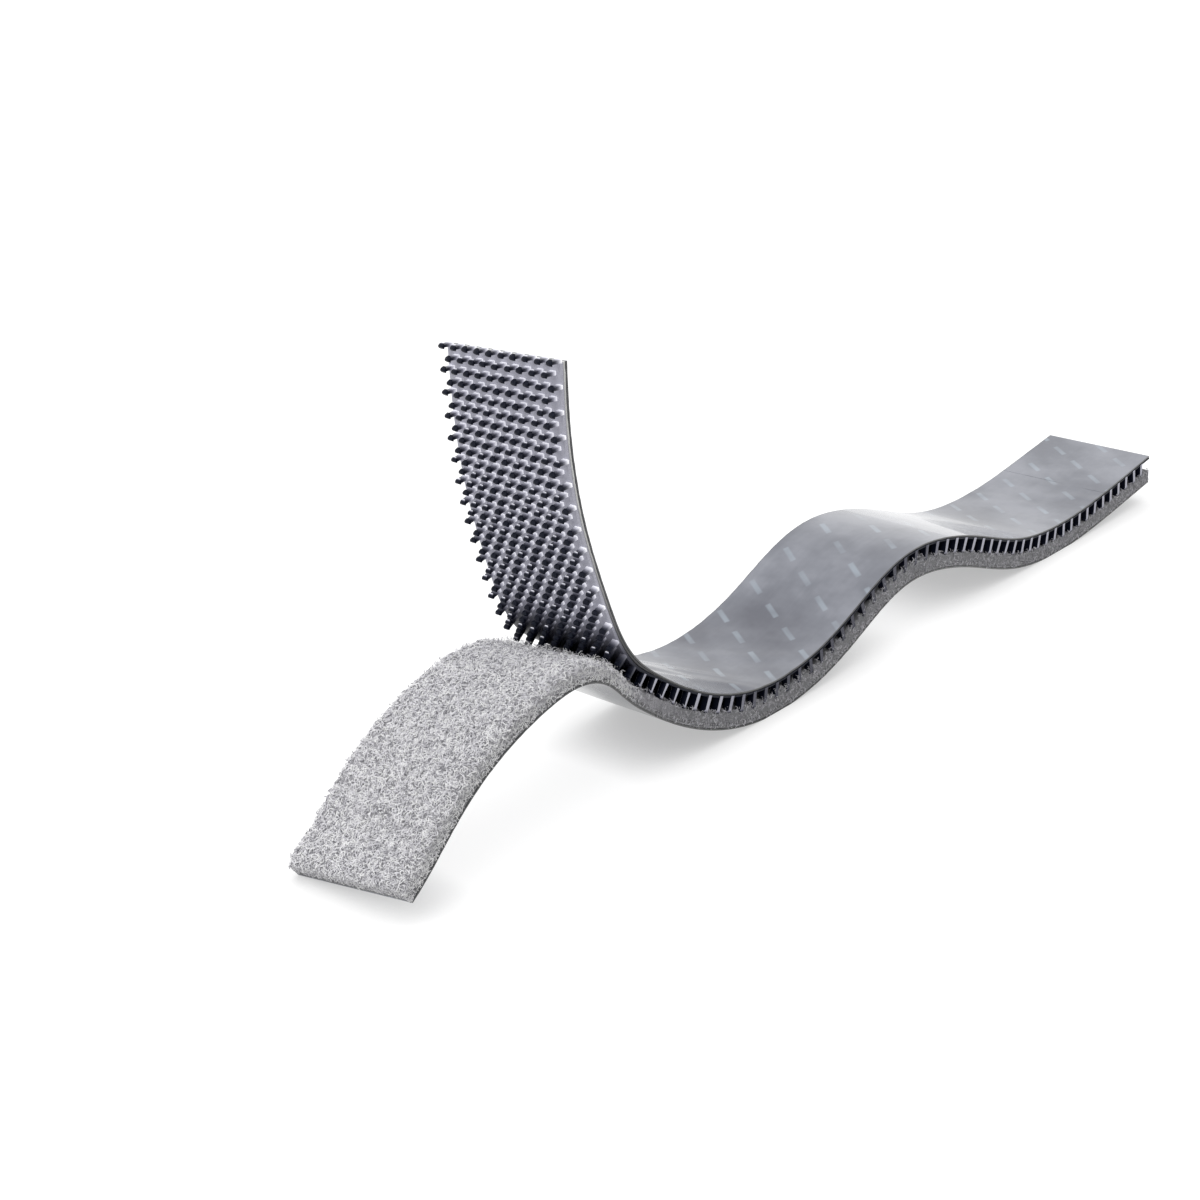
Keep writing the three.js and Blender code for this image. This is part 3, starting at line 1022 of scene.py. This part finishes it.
def sunk_hooks(along, across):
    """How far the fleece stands up between the hooks just behind the peel line."""
    behind = along - LOOP_FLAP
    height = SUNK_MIDDLE * rise(across, -9, 5) + SUNK_FAR * rise(across, 5, 4)
    return height * rise(behind, -3, 6) * (1 - rise(behind, 18, 8))


def fleece_level(along, across):
    open_share = rise(LOOP_FLAP - along, -1, 6)
    lumps = np.array([tuft(x, y) for x, y in zip(along, across)])
    edge = np.clip((np.abs(across) - (TAPE_WIDTH / 2 - EDGE_ROUND)) / EDGE_ROUND, 0, 1)
    tip = np.clip(1 - along / TIP_ROUND, 0, 1)
    spring = PILE_SPRING * rise(LOOP_FLAP - along, 0, PILE_SPRING_RUN)
    sprung = spring - PILE_DIP + LUMP_HEIGHT * lumps - EDGE_DROP * edge**2 - TIP_DROP * tip**2
    pressed = (1 - open_share) * (0.25 + 0.75 * deep_in_fleece(along)) * (1 + 0.5 * lumps)
    pressed = np.maximum(pressed, sunk_hooks(along, across))
    return LEVELS["pile"][1] + pressed + open_share * sprung


up_the_flap = fleece_level(np.array([20.0]), np.array([0.0]))[0]
print("fleece stands at level", round(float(up_the_flap), 2), "mm, 20 mm from the flap's tip")

# %% Fleece body
body = flat_layer(
    "fleece_body_layer", 0, loop_tape["length"], LEVELS["pile"], step=0.55, across=44
)
points = points_of(body)
top = points[:, 2] > (LEVELS["pile"][0] + 0.5) * MM
points[top, 2] = fleece_level(points[top, 0] / MM, points[top, 1] / MM) * MM
set_points(body, points)
wavy_edges(body, 0.25, 33)
lay_down(body, loop_tape)
body.data.materials.append(fleece_body)
shade_smooth(body, 60)
follow_peel(body, "loop_pile")
print("fleece body laid down")

# %% [markdown]
# ## Fibres
#
# A fibre is a thin curl. Hair could give a coat of them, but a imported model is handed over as
# meshes, so the fibres are meshes with few faces. Five kinds are drawn as short curves with a
# bevel, made into meshes, and copied all over the fleece, each turned, sized and shaded by itself.

# %% Model the kinds of fibre
FIBRE_KINDS = {
    "arch": [
        (-0.45, 0, -0.2), (-0.35, 0.06, 0.35), (0.02, 0, 0.55), (0.38, -0.04, 0.3),
        (0.46, 0.05, -0.2),
    ],
    "curl": [
        (-0.3, 0, -0.15), (-0.3, 0.2, 0.32), (0.1, 0.28, 0.5), (0.34, -0.04, 0.42),
        (0.02, -0.24, 0.3),
    ],
    "sway": [
        (0, 0, -0.2), (0.12, 0.06, 0.22), (-0.04, 0.1, 0.52), (0.22, -0.02, 0.72),
        (0.6, 0, 0.68),
    ],
    "lying": [
        (-0.8, 0, 0.05), (-0.35, 0.18, 0.34), (0.1, 0, 0.4), (0.5, -0.14, 0.32),
        (0.9, 0.15, 0.05),
    ],
    "pulled": [
        (0, 0, -0.3), (0.25, 0.1, 0.8), (-0.1, 0.25, 1.6), (0.3, 0.05, 2.3),
        (0.9, -0.1, 2.8), (1.5, 0.1, 2.9),
    ],
}
ARCH, CURL, SWAY, LYING, PULLED = range(len(FIBRE_KINDS))
FIBRE_RADIUS = 0.085


def model_fibre(name, bends):
    start_fresh()
    bpy.ops.curve.primitive_nurbs_path_add()
    curve = bpy.context.object
    curve.name = name
    curve.data.bevel_depth = FIBRE_RADIUS
    curve.data.bevel_resolution = 0
    curve.data.use_fill_caps = True
    spline = curve.data.splines[0]
    spline.type = "POLY"
    spline.points.add(len(bends) - len(spline.points))
    for point, place in zip(spline.points, bends):
        point.co = (*place, 1)
    bpy.ops.object.convert(target="MESH")
    bpy.ops.object.mode_set(mode="EDIT")
    bpy.ops.mesh.select_all(action="SELECT")
    bpy.ops.mesh.quads_convert_to_tris()
    bpy.ops.mesh.normals_make_consistent(inside=False)
    bpy.ops.object.mode_set(mode="OBJECT")
    points = points_of(curve)
    faces = np.array([tuple(face.vertices) for face in curve.data.polygons])
    bpy.data.objects.remove(curve)
    print(name, "fibre has", len(faces), "faces")
    return points, faces


fibres = [model_fibre(name, bends) for name, bends in FIBRE_KINDS.items()]

# %% [markdown]
# ## Strewing the fibres
#
# Each copy gets a place, a size, a turn about its own foot and a lean. One mesh holds thousands of
# them, with a shade for each.

# %% Strew copies of the fibres
strewing = np.random.default_rng(5)


def turned(angle, first, second):
    matrix = np.tile(np.eye(3), (len(angle), 1, 1))
    matrix[:, first, first] = matrix[:, second, second] = np.cos(angle)
    matrix[:, first, second] = -np.sin(angle)
    matrix[:, second, first] = np.sin(angle)
    return matrix


def strew(name, kinds, feet, sizes, leans, directions, paleness=0.5, spread=0.3):
    """Copies the chosen kinds of fibre to feet (in mm), leaning by leans towards directions."""
    count = len(feet)
    own_turns = turned(strewing.uniform(0, 2 * math.pi, count), 0, 1)
    turns = turned(directions, 0, 1) @ turned(leans, 2, 0) @ own_turns
    shades = np.clip(strewing.normal(paleness, spread, count), 0, 1)
    picked = strewing.choice(kinds, count)
    vertices, faces, shade, filled = [], [], [], 0
    for kind in kinds:
        mine = np.nonzero(picked == kind)[0]
        points, polygons = fibres[kind]
        copies = np.einsum("nij,vj->nvi", turns[mine], points) * sizes[mine, None, None]
        vertices.append((copies + feet[mine, None, :]).reshape(-1, 3))
        offsets = filled + np.arange(len(mine)) * len(points)
        faces.append((polygons[None] + offsets[:, None, None]).reshape(-1, 3))
        shade.append(np.repeat(shades[mine], len(points)))
        filled += len(mine) * len(points)
    mesh = bpy.data.meshes.new(name)
    mesh.from_pydata(np.concatenate(vertices) * MM, [], np.concatenate(faces).tolist())
    piece = add_object(name, mesh)
    write_attribute(piece, "shade", np.concatenate(shade))
    choose(piece)
    bpy.ops.object.shade_smooth()
    lay_down(piece, loop_tape)
    piece.data.materials.append(fibre_finish)
    follow_peel(piece, "")
    print(name, "has", count, "fibres and", len(mesh.polygons), "faces")


print("ready to strew")

# %% Fibres on the open face
FACE_FIBRES = 5000
FACE_HALF = 12.6
for part in range(4):
    count = FACE_FIBRES
    along = strewing.uniform(0.1, LOOP_FLAP - 3, count)
    across = strewing.uniform(-FACE_HALF, FACE_HALF, count)
    feet = np.stack([along, across, fleece_level(along, across) - 0.1], axis=1)
    roll = rise(np.abs(across), 11, 1.7) * 1.1
    strew(
        f"fleece_fibres_{part + 1}", [ARCH, CURL, SWAY, LYING], feet,
        strewing.uniform(0.5, 1.05, count) * (0.6 + 0.4 * rise(LOOP_FLAP - along, 0, 12)),
        strewing.uniform(0, 0.6, count) + roll,
        np.where(
            roll > 0.1, np.sign(across) * math.pi / 2, strewing.uniform(0, 2 * math.pi, count)
        ),
    )

# %% [markdown]
# ### Fibres at the edges
#
# The slit edges of the fleece are fuzzy. Fibres lean outwards there, along the flap, round its tip,
# and in the closed stretch, where they fill the side of the tape below the hooks. There they are
# painted darker, a painted shade between the tapes.

# %% Fibres at the edges
EDGE_FIBRES = 5200
TIP_FIBRES = 1300
EDGE_FEET = 12.5
EDGE_CROWDING = 1.15
FIBRE_BOTTOM = -2.5
for side, edge in ((-1, "near"), (1, "far")):
    count = EDGE_FIBRES
    along = loop_tape["length"] * strewing.uniform(0.001, 0.999, count) ** EDGE_CROWDING
    open_share = rise(LOOP_FLAP - along, 0, 8)
    at_edge = np.full(count, FACE_HALF)
    climb = 0.85 + 1.2 * deep_in_fleece(along)
    if side > 0:
        climb = np.maximum(climb, sunk_hooks(along, at_edge))
    open_top = fleece_level(along, at_edge) + 0.2
    top = open_share * open_top + (1 - open_share) * (LEVELS["pile"][1] + climb)
    level = top - strewing.uniform(0, 1, count) ** 0.8 * (top - FIBRE_BOTTOM)
    feet = np.stack([along, np.full(count, side * EDGE_FEET), level], axis=1)
    strew(
        f"fleece_{edge}_edge_fibres", [ARCH, CURL, LYING], feet,
        strewing.uniform(0.35, 0.7, count),
        strewing.uniform(0.9, 1.6, count),
        side * math.pi / 2 + strewing.normal(0, 0.35, count),
        # Painted shade: edge fibres are darker in the closed stretch, paler on the open flap.
        paleness=0.16 + 0.66 * open_share,
        spread=0.12 + 0.18 * open_share,
    )

count = TIP_FIBRES
across = strewing.uniform(-EDGE_FEET, EDGE_FEET, count)
level = fleece_level(np.full(count, 0.3), across) - strewing.uniform(-0.2, 2.0, count)
feet = np.stack([np.full(count, 0.15), across, level], axis=1)
strew(
    "fleece_tip_fibres", [ARCH, CURL, LYING], feet,
    strewing.uniform(0.35, 0.7, count),
    strewing.uniform(0.9, 1.7, count),
    math.pi + strewing.normal(0, 0.35, count),
)

# %% [markdown]
# ### Pulled fibres
#
# Where the tapes have just parted, the hooks have drawn loops out of the fleece. Long fibres stand
# up towards the hooks there, a little paler than the rest.

# %% Pulled fibres
PULLED_FIBRES = 1100
count = PULLED_FIBRES
past = strewing.uniform(-3, 16, count)
along = LOOP_FLAP - past
across = strewing.uniform(-12.2, 12.2, count)
feet = np.stack([along, across, fleece_level(along, across)], axis=1)
strew(
    "pulled_fibres", [SWAY, PULLED], feet,
    strewing.uniform(0.3, 0.5, count) * np.clip(0.45 + past / 16, 0.3, 1),
    strewing.uniform(0, 0.9, count),
    strewing.normal(0, 1.2, count),
    paleness=0.65,
)

# %% [markdown]
# ## Table and light
#
# The tape lies on a white ground. The ground takes the soft shadow of the tape as an ordinary matte
# surface, and a glow that only the camera and reflections see lifts it to white. The glow dims
# where the tape is very near, a painted shadow that is darkest at the places of contact. It is
# fully white away from the tape.

# %% Ground
start_fresh()
bpy.ops.mesh.primitive_plane_add(size=12, location=(0, 0, 0))
ground = bpy.context.object
ground.name = "ground"
ground_finish, shader = new_finish(
    "ground_white", (0.42, 0.42, 0.42), 1.0, Specular_IOR_Level=0.0
)
place = add_node(ground_finish, "TexCoord").outputs["Object"]
distance = add_node(ground_finish, "VectorMath", [(place, 0)], operation="LENGTH").outputs["Value"]
outwards = remap(
    ground_finish, distance, (0.2, 0.55), (0.8, 1), interpolation_type="SMOOTHSTEP"
)
ray = add_node(ground_finish, "LightPath").outputs
seen = calculate(ground_finish, "MAXIMUM", ray["Is Camera Ray"], ray["Is Glossy Ray"])
seen = calculate(ground_finish, "MAXIMUM", seen, ray["Is Transmission Ray"])
# Painted shadow: the glow dims near the tape, by ambient occlusion.
free = add_node(ground_finish, "AmbientOcclusion", Distance=0.012, samples=8).outputs["AO"]
lifted = remap(ground_finish, free, (0.3, 0.95), (0.55, 1))
dimmed = calculate(ground_finish, "MULTIPLY", lifted, outwards)
glow = calculate(ground_finish, "MULTIPLY", seen, dimmed)
shader.inputs["Emission Color"].default_value = (1, 1, 1, 1)
link(ground_finish, glow, shader.inputs["Emission Strength"])
ground.data.materials.append(ground_finish)
print("ground laid")

# %% [markdown]
# The light is a soft sun from the left and above, so that shadows fall softly to the right, and an
# even white room. Lamps round the tape would draw bright patches on the liner. What the camera and
# reflections see of the room is a little brighter than the light that it gives.

# %% Light
SUN_STRENGTH = 1.1
SUN_SOFTNESS = 60
SUN_FROM = Vector((-0.55, 0.1, 0.75))
ROOM_LIGHT = 0.75
sun_data = bpy.data.lights.new("soft_sun", "SUN")
sun_data.energy = SUN_STRENGTH
sun_data.angle = math.radians(SUN_SOFTNESS)
sun = add_object("soft_sun", sun_data)
sun.rotation_euler = SUN_FROM.to_track_quat("Z", "Y").to_euler()

room = bpy.data.worlds.new("white_room")
bpy.context.scene.world = room
room.use_nodes = True
background = room.node_tree.nodes["Background"]
background.inputs["Color"].default_value = (1, 1, 1, 1)
ray = add_node(room, "LightPath").outputs
seen = calculate(room, "MAXIMUM", ray["Is Camera Ray"], ray["Is Glossy Ray"])
link(room, remap(room, seen, (0, 1), (ROOM_LIGHT, 1)), background.inputs["Strength"])
print("lights set")

# %% [markdown]
# ## Finish
#
# The two path curves were only tools, and are deleted.

# %% Remove the tools
for tape in (hook_tape, loop_tape):
    bpy.data.objects.remove(tape["curve"])
